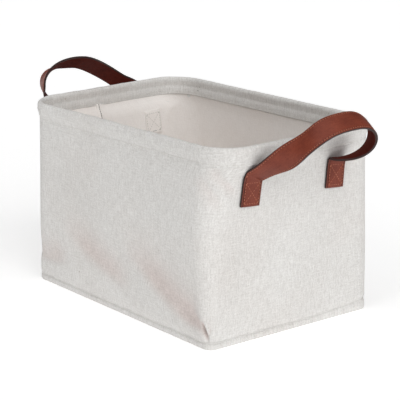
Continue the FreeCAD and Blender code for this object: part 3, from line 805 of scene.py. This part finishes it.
def hemPoint(place, row):
    out, height = profile[row]
    before, after = profile[max(row - 1, 0)], profile[min(row + 1, len(profile) - 1)]
    slope = Vector((after[0] - before[0], after[1] - before[1])).normalized()
    facing = Vector((slope.y, -slope.x))
    base, normal = hemOutline(place)
    spot = Vector((base.x, base.y, 0))
    inside = row > len(profile) / 2
    stitchAt = hemFoot + hemShape["stitchRise"]
    near = bell(height - stitchAt, 0.0045)
    ripple = hemShape["pucker"] * near * wobble(base.x * 120, base.y * 120, 7.0 if inside else 1.0)
    slack = smooth((height - hemFoot) / 0.006) * (1 - smooth((height - wireHeight + 0.004) / 0.004))
    lean = 0.6 * height * 160
    run = runAt(place)
    closing = smooth(min(run, perimeter - run) / 0.03)
    slack *= closing
    drag = hemShape["drag"] * slack * wobble(run * 62 + lean, 0.5 if inside else 9.5, height * 25)
    drag += 0.5 * hemShape["drag"] * slack * wobble(run * 150 + lean, 4.5 if inside else 2.5, 0)
    broad = hemShape["broad"] * noise.noise(spot * 14) * (1 - near)
    broad += hemShape["knot"] * (1 - near) * closing * wobble(run * 85, 6.5, 2.5 + height * 30)
    groove = -hemShape["groove"] * bell(height - stitchAt, 0.0012)
    move = ripple + drag + broad + groove
    out += facing.x * move
    height += facing.y * move
    height += hemShape["sag"] * noise.noise(spot * 8.0) * ramp(height, hemFoot, wireHeight)
    return pushedOut(base, normal, out, height)


def makeHem():
    shape = clothSheet(columnTotal, len(profile) - 1, lambda column, row: hemPoint(places[column], row),
                       lambda column, row: (runAt(places[column]), 0.2 + profileRuns[row]))
    piece = newPiece("rimHem", shape, "canvas", canvas)
    thicken(piece, hemShape["cloth"])
    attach(piece, "rim")
    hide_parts("rim_hem")
    return piece


rimHem = makeHem()


def makeStitchMesh():
    shape = bmesh.new()
    bmesh.ops.create_uvsphere(shape, u_segments=6, v_segments=5, radius=1)
    mesh = bpy.data.meshes.new("oneStitch")
    shape.to_mesh(mesh)
    shape.free()
    return mesh


oneStitch = makeStitchMesh()


def addStitch(shape, middle, along, face, length, radius, ink=0):
    # a short bead of thread, its two ends sunk into the cloth
    along = along.normalized()
    across = face.cross(along).normalized()
    face = along.cross(across)
    turn = Matrix((across, face, along)).transposed().to_4x4()
    grow = Matrix.Diagonal((radius, radius, length / 2, 1))
    bead = oneStitch.copy()
    bead.transform(Matrix.Translation(middle) @ turn @ grow)
    for polygon in bead.polygons:
        polygon.material_index = ink
    shape.from_mesh(bead)
    bpy.data.meshes.remove(bead)


def profileRow(inside):
    # the profile points each side of the stitch line, with the share between them
    target = hemFoot + hemShape["stitchRise"]
    for row in range(len(profile) - 1):
        low, high = sorted((profile[row][1], profile[row + 1][1]))
        if low <= target <= high and (row > len(profile) / 2) == inside:
            return row, (target - profile[row][1]) / (profile[row + 1][1] - profile[row][1])
    return 0, 0.0


def makeHemStitching(name, inside, node):
    row, share = profileRow(inside)
    shape = bmesh.new()
    count = round(perimeter / hemShape["stitchPitch"])
    sign = -1 if inside else 1

    def stitchSpot(run):
        side = max(index for index in range(9) if sideStarts[index] <= run % perimeter)
        place = (side, (run % perimeter - sideStarts[side]) / sideLengths[side])
        return hemPoint(place, row).lerp(hemPoint(place, row + 1), share), place

    for index in range(count):
        run = (index + 0.5) * perimeter / count
        middle, place = stitchSpot(run)
        ahead = stitchSpot(run + 0.001)[0]
        normal = hemOutline(place)[1] * sign
        along = (ahead - middle).normalized() + Vector((0, 0, hemShape["stitchSlant"]))
        addStitch(shape, middle + normal * hemShape["thread"] * 0.35, along, normal, hemShape["stitchLength"],
                  hemShape["thread"])
    if inside:
        # the strip's own join beside the back left corner, crossed with stitches
        for lean in (1, -1):
            for step in range(hemShape["joinStitches"]):
                across = (step + 0.5) / hemShape["joinStitches"] - 0.5
                place = (0, hemShape["joinAt"] + lean * hemShape["joinLean"] * across)
                later = (0, place[1] + lean * hemShape["joinLean"] / hemShape["joinStitches"])
                line = len(profile) - hemShape["joinRow"] + step
                middle, ahead = hemPoint(place, line), hemPoint(later, line + 1)
                addStitch(shape, middle, ahead - middle, Vector((0, -1, 0)), hemShape["joinLength"],
                          hemShape["joinThread"], int(step % 4 == 1))
    piece = newPiece(name, shape, "canvas_thread", canvasThread, greyThreadAndGapShade)
    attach(piece, "rim")
    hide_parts(node)
    return piece


hemStitches = [makeHemStitching("hemStitchOutside", False, "hem_stitching_outer"),
               makeHemStitching("hemStitchInside", True, "hem_stitching_inner")]
print("hem made")


# Base: a shallow canvas tray, its seam, and the lining laid over the board.
baseShape = {
    "corner": 0.012, "canvas": 0.0009, "swell": 0.0004, "seamRadius": 0.0008, "seamSides": 8, "seamInset": 0.0006,
    "upturn": 0.008, "insideLift": 0.0004,
    # shares of the underside's rings, then (out, height) up and over the rounded edge to the seam
    "rings": (0.0, 0.35, 0.7, 0.9, 0.97),
    "edge": ((-0.0030, 0.0), (-0.0012, 0.0001), (-0.0004, 0.0006), (0.0, 0.0016), (0.0003, 0.0030),
             (0.0003, 0.0050), (0.0, 0.0066), (-0.0008, 0.0078), (-0.0016, 0.0084)),
    "liningRings": (0.0, 0.25, 0.5, 0.7, 0.84, 0.92, 0.96, 0.985, 1.0),
}


def baseOutline(place, inset=0.0):
    return outlinePoint(place, trayHigh.x * 2 - 2 * inset, trayHigh.y * 2 - 2 * inset, baseShape["corner"], 0)


def makeTray():
    rings, steps = baseShape["rings"], baseShape["edge"]

    def placePoint(column, row):
        place = places[column]
        run = runAt(place)
        if row < len(rings):
            point = baseOutline(place)[0] * rings[row]
            return Vector((point.x, point.y, 0.0))
        out, height = steps[row - len(rings)]
        lift = (seamHeight(run) - 0.0002) / steps[-1][1]
        point, normal = baseOutline(place)
        wave = baseShape["swell"] * wobble(point.x * 45, point.y * 45, height * 40) * ramp(height, 0.0, 0.003)
        return pushedOut(point, normal, out + wave, height * lift)

    def flatPoint(column, row):
        if row < len(rings):
            point = placePoint(column, row)
            return point.x, point.y
        return runAt(places[column]), steps[row - len(rings)][1]

    shape = clothSheet(columnTotal, len(rings) + len(steps) - 1, placePoint, flatPoint)
    piece = newPiece("baseTray", shape, "canvas", canvas)
    thicken(piece, baseShape["canvas"])
    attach(piece, "root")
    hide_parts("base_canvas")


def makeSeam():
    # the rolled edge where the wall is sewn to the tray; it swells and thins as it goes round
    around = baseShape["seamSides"]

    def placePoint(column, row):
        place = places[column]
        run = runAt(place)
        point, normal = baseOutline(place, baseShape["seamInset"])
        radius = baseShape["seamRadius"] * (1 + 0.35 * wobble(run * 55, 0.3, 0))
        sway = 0.0004 * wobble(run * 80, 5.5, 0) - 0.0011 * bell(run - faceRun("right", wallShape["notchAt"]), 0.02)
        angle = 2 * math.pi * (row % around) / around
        return pushedOut(point, normal, radius * math.cos(angle) + sway,
                         seamHeight(run) + 0.0003 + radius * math.sin(angle))

    shape = clothSheet(columnTotal, around, placePoint,
                       lambda column, row: (runAt(places[column]), 0.3 + row * 0.0008))
    piece = newPiece("baseSeam", shape, "canvas", canvas)
    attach(piece, "root")
    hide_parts("base_seam_piping")


def makeBaseLining():
    half = Vector((liningHigh.x, liningHigh.y, 0))
    rings = baseShape["liningRings"]

    def placePoint(column, row):
        share = rings[row]
        point = outlinePoint(places[column], half.x * 2, half.y * 2, baseShape["corner"] - 0.0022, 0)[0] * share
        edge = ramp(share, 0.8, 1.0)
        ripple = baseShape["insideLift"] * (wobble(point.x * 18, point.y * 18, 2.0) + 0.6)
        ripple += baseShape["insideLift"] * edge * abs(wobble(point.x * 60, point.y * 60, 8.0))
        return Vector((point.x, point.y, liningHigh.z + ripple * ramp(share, 0.0, 0.1)))

    shape = clothSheet(columnTotal, len(rings) - 1, placePoint,
                       lambda column, row: tuple(placePoint(column, row))[:2])
    bmesh.ops.recalc_face_normals(shape, faces=shape.faces)
    if sum(face.normal.z for face in shape.faces) < 0:
        bmesh.ops.reverse_faces(shape, faces=shape.faces)
    piece = newPiece("baseLining", shape, "lining", lining)
    thicken(piece, liningHigh.z - liningLow.z)
    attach(piece, "root")
    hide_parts("base_lining")


makeTray()
makeSeam()
makeBaseLining()
print("base made")


# Handle ends: directions on the end wall, as (along the wall, up, out of it).
def endWallFrame(along, height):
    low, high = wallShape["levels"][4], wallShape["levels"][5]
    span = high[0] - low[0]
    riseOut = (high[1] - low[1]) / 2 / span
    outBy = low[1] / 2 + riseOut * (height - low[0])
    twistRate = math.radians(high[4] - low[4]) / span
    twist = math.radians(low[4]) + twistRate * (height - low[0])
    flat = Matrix.Rotation(twist, 3, "Z")
    point = flat @ Vector((outBy, along, 0)) + Vector((0, 0, height))
    sway = flat @ Vector((-along * twistRate, outBy * twistRate, 0))
    up = (flat @ Vector((riseOut, 0, 0)) + sway + Vector((0, 0, 1))).normalized()
    out = (flat @ Vector((0, 1, 0))).cross(up).normalized()
    return point, up.cross(out), up, out


tabFrames = {end: [endWallFrame(along, tabShape["centre"]) for along in tabAlong[end]] for end in tabAlong}
strapShape = {
    "width": 0.029, "thickness": 0.0032, "face": 0.0017, "crown": 0.00045, "groove": 0.0024, "grooveDepth": 0.00030,
    "loopFoot": 0.2023, "loopLift": 0.0008, "rows": 132, "tabRows": 14,
    "stitchLength": 0.0027, "stitchPitch": 0.0034, "thread": 0.00046,
    "bendOut": 0.1883, "bendAbove": 0.0004, "bendLength": 0.0080,
}
# Each loop is two curves that meet at the crown, as (out, along, up) from the middle of its feet.
loopShape = {
    "right": {
        "crown": (0.0792, 0.0120, 0.0683), "frontPull": (0.0827, 0.0370, 0.0492),
        "rearPull": (0.0685, 0.0045, 0.0085),
        "frontReach": 0.0690, "rearReach": 0.0500, "level": (0.054, 1.0, 0.0155), "tilt": 17.9,
        "frontTurn": 0.087, "rearTurn": 0.127, "footTurn": 0.055, "rise": 0.0025},
    "left": {
        "crown": (0.0145, 0.0415, 0.0735), "frontPull": (0.1045, -0.0150, 0.0220),
        "rearPull": (0.0915, 0.0155, 0.0170),
        "frontReach": 0.0235, "rearReach": 0.0590, "level": (0.19, 1.0, 0.08), "tilt": -24.0,
        "frontTurn": 0.070, "rearTurn": 0.074, "footTurn": 0.030, "rise": 0.0160},
}


def curvePoint(poles, share):
    points = list(poles)
    while len(points) > 2:
        points = [first.lerp(last, share) for first, last in zip(points, points[1:])]
    return points[0].lerp(points[1], share), (points[1] - points[0]).normalized()


def evenShares(poles, count):
    samples = [index / 400 for index in range(401)]
    runs = runsAlong([curvePoint(poles, share)[0] for share in samples])
    shares = []
    index = 0
    for step in range(count + 1):
        target = runs[-1] * step / count
        while index < 399 and runs[index + 1] < target:
            index += 1
        part = (target - runs[index]) / max(runs[index + 1] - runs[index], 1e-12)
        shares.append((samples[index] + min(part, 1.0) / 400, target))
    return shares, runs[-1]


def loopFrames(end):
    loop = loopShape[end]
    lift = strapShape["thickness"] / 2 + tabShape["clearance"] + strapShape["loopLift"]
    feet = []
    for point, side, up, out in tabFrames[end]:
        feet.append((point + up * ((strapShape["loopFoot"] - point.z) / up.z) + out * lift, up, out))
    (front, frontUp, frontFace), (rear, rearUp, rearFace) = feet
    crown = (front + rear) * 0.5 + Vector(loop["crown"])
    level = Vector(loop["level"]).normalized()
    first = [front, front + frontUp * loop["rise"], front + Vector(loop["frontPull"]),
             crown - level * loop["frontReach"], crown]
    second = [crown, crown + level * loop["rearReach"], rear + Vector(loop["rearPull"]),
              rear + rearUp * loop["rise"], rear]
    leaning = (crown - front).cross(rear - front).normalized()
    if leaning.x < 0:
        leaning = -leaning
    firstShares, firstLength = evenShares(first, strapShape["rows"] // 2)
    secondShares, secondLength = evenShares(second, strapShape["rows"] // 2)
    whole = firstLength + secondLength
    quarter = math.pi / 2 + math.radians(loop["tilt"])
    stations = [(first, share, run) for share, run in firstShares]
    stations += [(second, share, run + firstLength) for share, run in secondShares[1:]]
    frames = []
    for poles, share, run in stations:
        nearFront = 2 * run < whole
        fromFoot = run if nearFront else whole - run
        turned = smooth(fromFoot / loop["frontTurn" if nearFront else "rearTurn"])
        freed = smooth(fromFoot / loop["footTurn"])
        point, along = curvePoint(poles, share)
        facing = (frontFace if nearFront else rearFace) * (1 - freed) + leaning * freed
        across = along.cross(facing).normalized()
        facing = across.cross(along)
        width = across * math.cos(quarter * turned) + facing * math.sin(quarter * turned)
        frames.append((point, width, width.cross(along)))
    return frames


def strapFrames(end):
    # from the foot of the front tab, over the loop, to the foot of the rear tab
    loop = loopFrames(end)
    lift = strapShape["thickness"] / 2 + tabShape["clearance"]
    half = tabShape["height"] / 2
    legs = []
    for point, side, up, out in tabFrames[end]:
        leg = []
        for step in range(strapShape["tabRows"]):
            share = step / (strapShape["tabRows"] - 0.2)
            above = -half + (strapShape["loopFoot"] - tabShape["centre"] + half) * share
            rise = lift + strapShape["loopLift"] * ramp(above, half - 0.006, half + 0.003)
            leg.append((point + up * above + out * rise, side, out))
        legs.append(leg)
    rear = [(point, -side, out) for point, side, out in reversed(legs[1])]
    return legs[0] + loop + rear


def mirrored(points):
    return [(-across, out) for across, out in points]


def sectionPoints(kind):
    # the strap's cross-section, as (across, out of the face), from its lower edge over the face
    half = strapShape["width"] / 2
    top = strapShape["thickness"] / 2
    parting = top - strapShape["face"]
    if kind == "backing":
        edge = half - 0.0003
        upper = [(edge - 0.0001, parting), (edge, parting - 0.0001)]
        under = [(edge, -top + 0.0005), (edge - 0.0005, -top + 0.0001), (edge - 0.0014, -top),
                 (edge * 0.5, -top - 0.0001)]
        return [*mirrored(upper)[::-1], *upper, *under, (0.0, -top - 0.0001), *mirrored(under)[::-1]]
    groove = half - strapShape["groove"]
    over = []
    for inset, drop in ((0.0, 0.00085), (0.00012, 0.00045), (0.0004, 0.00014), (0.0009, 0.0), (0.0014, 0.0),
                        (0.0019, 0.00010)):
        over.append((half - inset, top - drop))
    over += [(groove, top - strapShape["grooveDepth"]), (groove - 0.0006, top - 0.00008),
             (groove - 0.0018, top + strapShape["crown"] * 0.25), (groove * 0.62, top + strapShape["crown"] * 0.7),
             (groove * 0.3, top + strapShape["crown"] * 0.95)]
    foot = [(half, parting + 0.00015), (half - 0.0003, parting + 0.00005)]
    return [*mirrored(over), (0.0, top + strapShape["crown"]), *over[::-1], *foot, *mirrored(foot)[::-1]]


endTurns = {"right": Matrix.Identity(3), "left": Matrix.Rotation(math.pi, 3, "Z")}


def bendAtFoot(piece):
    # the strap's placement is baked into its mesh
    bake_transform(piece)


def strapPiece(name, end, kind, slot, materials, inkedColumns, nodes):
    frames = strapFrames(end)
    section = sectionPoints(kind)
    runs = runsAlong([point for point, width, face in frames])
    around = runsAlong(section + section[:1])

    def placePoint(column, row):
        point, width, face = frames[row]
        across, out = section[column % len(section)]
        return endTurns[end] @ (point + width * across + face * out)

    shape = clothSheet(len(section), len(frames) - 1, placePoint, lambda column, row: (runs[row], around[column]),
                       inkedColumns)
    rims = [edge for edge in shape.edges if edge.is_boundary]
    made = bmesh.ops.holes_fill(shape, edges=rims, sides=0)
    for face in made["faces"]:
        face.material_index = 1
    piece = newPiece(name, shape, slot, *materials)
    bendAtFoot(piece)
    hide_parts(*nodes)


def makeEdgeStitching(end):
    # two rows of stitches sunk along the strap's face
    frames = loopFrames(end)
    flip = endTurns[end]
    top = strapShape["thickness"] / 2 - strapShape["grooveDepth"] * 0.7
    for row, side in (("inner", -1), ("outer", 1)):
        shape = bmesh.new()
        across = side * (strapShape["width"] / 2 - strapShape["groove"])
        line = [flip @ (point + width * across + face * top) for point, width, face in frames]
        runs = runsAlong(line)
        count = int(runs[-1] / strapShape["stitchPitch"])
        index = 0
        for stitch in range(count):
            target = (stitch + 0.5) * runs[-1] / count
            while runs[index + 1] < target:
                index += 1
            share = (target - runs[index]) / (runs[index + 1] - runs[index])
            middle = line[index].lerp(line[index + 1], share)
            addStitch(shape, middle, line[index + 1] - line[index], flip @ frames[index][2],
                      strapShape["stitchLength"], strapShape["thread"])
        piece = newPiece("edgeStitch_%s_%s" % (end, row), shape, "strap_thread", strapThread)
        bendAtFoot(piece)
        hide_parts("edge_stitching_%s_%s" % (end, row))


def boxLines(halfWidth, halfHeight):
    corners = [(-halfWidth, -halfHeight), (halfWidth, -halfHeight),
               (halfWidth, halfHeight), (-halfWidth, halfHeight)]
    return [(corners[first], corners[last]) for first, last in ((0, 1), (1, 2), (2, 3), (3, 0), (0, 2), (1, 3))]


def addBoxStitches(shape, frame, depth, facing, inkRows=()):
    point, side, up, out = frame
    halfWidth = tabShape["width"] / 2 - tabShape["boxInset"]
    halfHeight = tabShape["height"] / 2 - tabShape["boxInset"]
    for row, (start, end) in enumerate(boxLines(halfWidth, halfHeight)):
        length = math.dist(start, end)
        count = max(int(length / strapShape["stitchPitch"]), 1)
        for index in range(count):
            share = (index + 0.5) / count
            along, above = blendValues(start, end, share)
            spot = point + side * along + up * above + out * depth
            run = side * (end[0] - start[0]) + up * (end[1] - start[1])
            ink = 1 if row in inkRows and index % 3 != 1 else 0
            addStitch(shape, spot, run, out * facing, strapShape["stitchLength"], strapShape["thread"], ink)


def makeHandleEnds(end):
    patchDepth = feltDepth + wallShape["lining"] + tabShape["patchThickness"]
    for place, rightFrame in zip(("front", "rear"), tabFrames[end]):
        frame = [endTurns[end] @ part for part in rightFrame]
        point, side, up, out = frame
        name = end + "_" + place
        shape = bmesh.new()
        crown = tabShape["clearance"] + strapShape["thickness"] + strapShape["crown"] * 0.85
        addBoxStitches(shape, frame, crown, 1)
        piece = newPiece("boxStitch_" + name, shape, "strap_thread", strapThread)
        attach(piece, "rim")
        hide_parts("box_stitching_" + name)

        columns, rows = 16, 20

        def patchPoint(column, row):
            along = (column / columns - 0.5) * tabShape["patchWidth"]
            above = (row / rows - 0.5) * tabShape["patchHeight"]
            edge = min(1 - abs(2 * column / columns - 1), 1 - abs(2 * row / rows - 1))
            puff = tabShape["patchPuff"] * smooth(edge / 0.25)
            puff += 0.00015 * wobble(along * 300, above * 300, point.x * 9)
            return point + side * -along + up * above - out * (patchDepth + puff)

        shape = clothSheet(columns, rows, patchPoint,
                           lambda column, row: (column * 0.0016 + point.y, row * 0.0017 + point.x))
        patch = newPiece("innerPatch_" + name, shape, "lining", lining)
        thicken(patch, tabShape["patchThickness"])
        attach(patch, "rim")
        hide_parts("inner_patch_" + name)
        shape = bmesh.new()
        addBoxStitches(shape, frame, -(patchDepth + tabShape["patchPuff"]), -1, (0,))
        knots = newPiece("patchStitch_" + name, shape, "canvas_thread", canvasThread, greyThreadAndGapShade)
        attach(knots, "rim")


# Columns of the strap's cross-section that take the painted edge (1) or the stitch groove, darkened with painted
# shade (2).
faceLength = len(sectionPoints("face"))
faceInk = {column: 1 for column in (0, 1, *range(faceLength - 7, faceLength))}
faceInk.update({5: 2, 6: 2, faceLength - 12: 2, faceLength - 11: 2})
backInk = {column: 1 for column in (0, 2, 3, 4, 11, 12)}
for end in ("right", "left"):
    strapPiece("strap_" + end, end, "face", "strap_leather", (leather, edgePaint, stitchGrooveShade), faceInk,
               ["strap_face_" + end, "strap_end_%s_front" % end, "strap_end_%s_rear" % end])
    strapPiece("strapUnderside_" + end, end, "backing", "strap_backing", (backing, edgePaint), backInk,
               ["strap_backing_" + end])
    makeEdgeStitching(end)
    makeHandleEnds(end)
print("handles made")


# Lining join on the inside of the left end wall: a narrow strip with a dark line of grey stitches, which paints the
# shadow in the join's gap.
joinShape = {
    "side": -0.018, "width": 0.009, "cut": 0.010, "thickness": 0.0008, "low": 0.0100, "high": 0.2195,
    "columns": 6, "rows": 90, "stitches": 74, "stitchLength": 0.0031, "thread": 0.00060, "threadLift": 0.0003,
}


def makeJoinTape():
    depth = feltDepth + wallShape["lining"] + wallShape["gap"] + joinShape["thickness"]
    # on the left end the outline runs from back to front, so the side is measured the other way
    middle = 0.5 - joinShape["side"] / straightY
    half = joinShape["width"] / 2 / straightY
    columns, lift = joinShape["columns"], joinShape["threadLift"]

    def surfacePoint(share, height, above):
        place = (2, share)
        point, normal = outlinePoint(place, *wallLevel(height))
        out = wallRelief(runAt(place), height, point) - depth - above
        return pushedOut(point, normal, out, height), normal

    def rowHeight(row, rows=joinShape["rows"]):
        return joinShape["low"] + (joinShape["high"] - joinShape["low"]) * row / rows

    def placePoint(column, row):
        share = middle + half - 2 * half * column / columns
        puff = 0.00025 * math.sin(math.pi * column / columns)
        return surfacePoint(share, rowHeight(row), puff)[0]

    shape = clothSheet(columns, joinShape["rows"], placePoint,
                       lambda column, row: (column * joinShape["width"] / columns, rowHeight(row)))
    tape = newPiece("liningJoin", shape, "lining", lining)
    thicken(tape, joinShape["thickness"])
    # the dark grey stitch line is painted shadow for the gap in the join
    shape = bmesh.new()
    for index in range(joinShape["stitches"]):
        height = rowHeight(index + 0.5, joinShape["stitches"])
        spot, normal = surfacePoint(middle, height, lift)
        ahead = surfacePoint(middle, height + 0.001, lift)[0]
        addStitch(shape, spot, ahead - spot, -normal, joinShape["stitchLength"], joinShape["thread"])
    thread = newPiece("joinStitchingGapShade", shape, "canvas_thread", greyThreadAndGapShade)
    sinkWithRim(tape)
    sinkWithRim(thread)
    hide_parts("wall_join_tape")


makeJoinTape()

# The parts kept from the frame get their own finish.
for node, material in (("base_board", boardSheet), ("rim_wire", springSteel), ("wire_ferrule", springSteel)):
    kept = frame["nodes"][node]
    kept.data.materials.clear()
    kept.data.materials.append(material)
print("lining join and kept parts finished")
